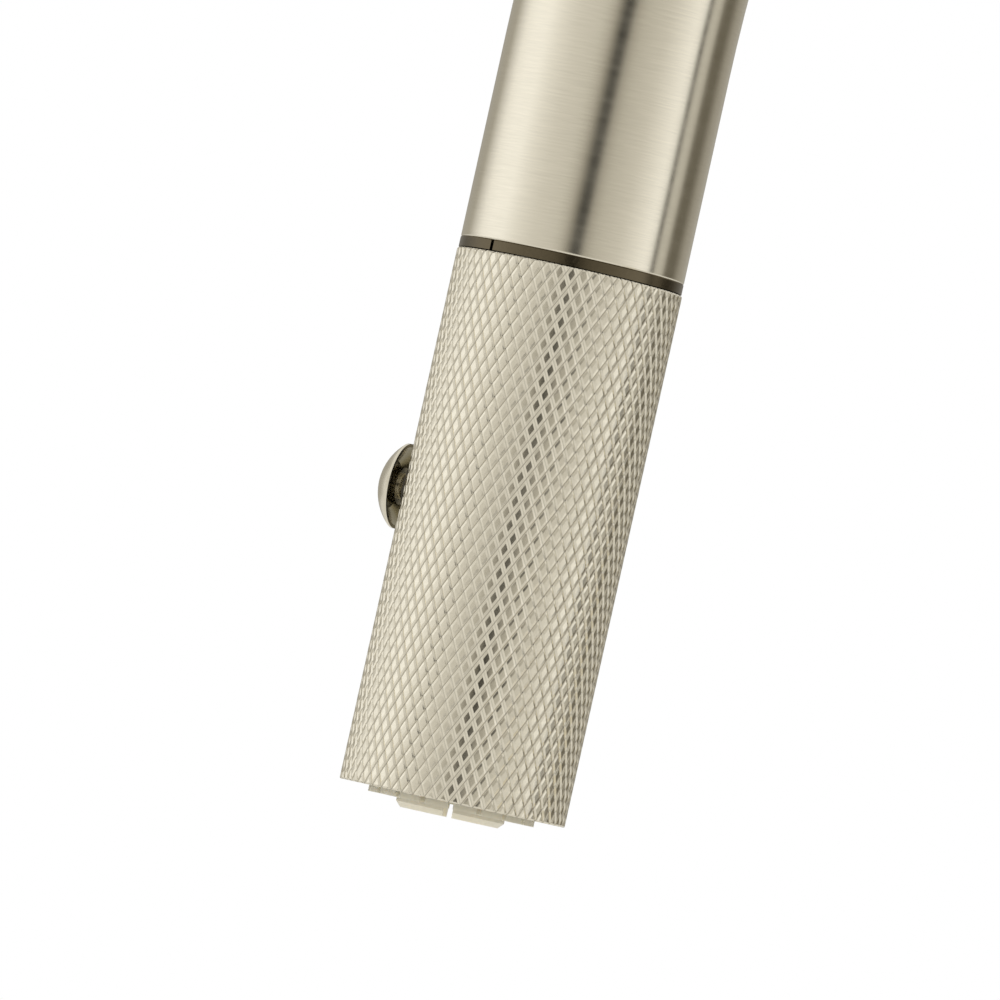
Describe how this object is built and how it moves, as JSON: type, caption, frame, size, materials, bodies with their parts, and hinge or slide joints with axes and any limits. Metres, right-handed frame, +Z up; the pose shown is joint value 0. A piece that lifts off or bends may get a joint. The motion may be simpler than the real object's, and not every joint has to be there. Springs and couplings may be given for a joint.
{
  "type": "pull-out kitchen faucet",
  "caption": "Deck-mounted gooseneck kitchen faucet with side lever, docked knurled pull-out spray wand, diverter button and under-deck shank and nut.",
  "frame": {"origin": "on the deck's top face, at the axis of the column and shank", "axes": "+Z up the column, -Y out of the front towards the wand, +X towards the lever's side"},
  "size_m": [0.093, 0.2809, 0.5408],
  "materials": {
    "nickel": "warm brushed nickel plating",
    "brass": "turned",
    "steel": "stainless, turned",
    "magnet": "nickel-coated ferrite ring",
    "ceramic": "lapped ceramic",
    "white_nylon": "moulded",
    "dark_nylon": "moulded",
    "plated_abs": "moulded",
    "nozzle_plastic": "moulded, nickel-coloured",
    "rubber": "moulded",
    "braid": "braided nylon over PEX hose"
  },
  "bodies": {
    "column": {"base_seal": "rubber", "base_flange": "nickel", "column_shell": "nickel", "valve_body": "brass", "port_plate": "brass", "cartridge_sleeve": "brass", "side_sleeve": "nickel", "thrust_washer": "white_nylon", "lower_bushing": "white_nylon", "upper_bushing": "white_nylon", "spout_screw": "steel", "shank": "brass", "rubber_washer": "rubber", "clamp_washer": "steel", "shank_nut": "brass", "clamp_screws": "steel", "shank_bush": "dark_nylon", "cartridge_base": "white_nylon", "cartridge_housing": "white_nylon", "fixed_disc": "ceramic", "cartridge_nut": "brass"},
    "spout": {"spout_tube": "nickel", "spout_outlet": "nickel", "dock_ring": "dark_nylon", "dock_magnet": "magnet", "dock_sleeve": "white_nylon", "hose_arch": "braid", "hose_inlet_fitting": "brass"},
    "hose_end": {"hose_end_run": "braid", "hose_ferrule": "steel"},
    "wand": {"hose_nut": "nickel", "hose_seal": "rubber", "check_valve": "white_nylon", "wand_armature": "steel", "wand_shell": "nickel", "wand_core": "plated_abs", "button_guide": "dark_nylon", "guide_seal": "rubber", "button_spring": "steel", "face_plate": "dark_nylon", "spray_nozzles": "nozzle_plastic", "aerator_body": "nozzle_plastic", "aerator_screen": "nozzle_plastic", "aerator_seal": "rubber"},
    "button": {"button_cap": "nickel", "button_stem": "nickel", "spool_seals": "rubber"},
    "handle": {"handle_cap": "nickel", "spindle": "white_nylon", "stem_pin": "steel"},
    "lever": {"lever_stem": "steel", "lever_hub": "steel", "hub_screw": "steel", "lever_rod": "nickel", "lever_collar": "nickel", "lever_grip": "nickel", "lever_tip": "nickel"},
    "disc": {"moving_disc": "ceramic", "disc_carrier": "dark_nylon"}
  },
  "joints": [
    {"name": "spout_swivel", "type": "hinge", "parent": "column", "child": "spout", "pos_m": [0, 0, 0.1], "axis": [0, 0, 1], "range_deg": [-60, 60]},
    {"name": "wand_pull", "type": "slide", "parent": "spout", "child": "hose_end", "axis": [0, -0.23, -0.9732], "range_m": [0, 0.08]},
    {"name": "wand_turn", "type": "hinge", "parent": "hose_end", "child": "wand", "pos_m": [0, -0.21701, 0.2694], "axis": [0, 0.23, 0.9732], "continuous": true},
    {"name": "button_press", "type": "slide", "parent": "wand", "child": "button", "axis": [0, 0.9732, -0.23], "range_m": [0, 0.0012], "stiffness_N_per_m": 600, "springref_m": -0.004, "deforming": ["button_spring"]},
    {"name": "handle_temperature", "type": "hinge", "parent": "column", "child": "handle", "pos_m": [0.05, 0, 0.058], "axis": [1, 0, 0], "range_deg": [-45, 45]},
    {"name": "handle_flow", "type": "hinge", "parent": "handle", "child": "lever", "pos_m": [0.02865, 0, 0.058], "axis": [0, 1, 0], "range_deg": [0, 18]},
    {"name": "disc_slide", "type": "slide", "parent": "handle", "child": "disc", "axis": [0, 0, 1], "range_m": [0, 0.00201]}
  ],
  "couplings": [
    {"joint": "disc_slide", "follows": "handle_flow", "m_per_rad": 0.0063936}
  ]
}
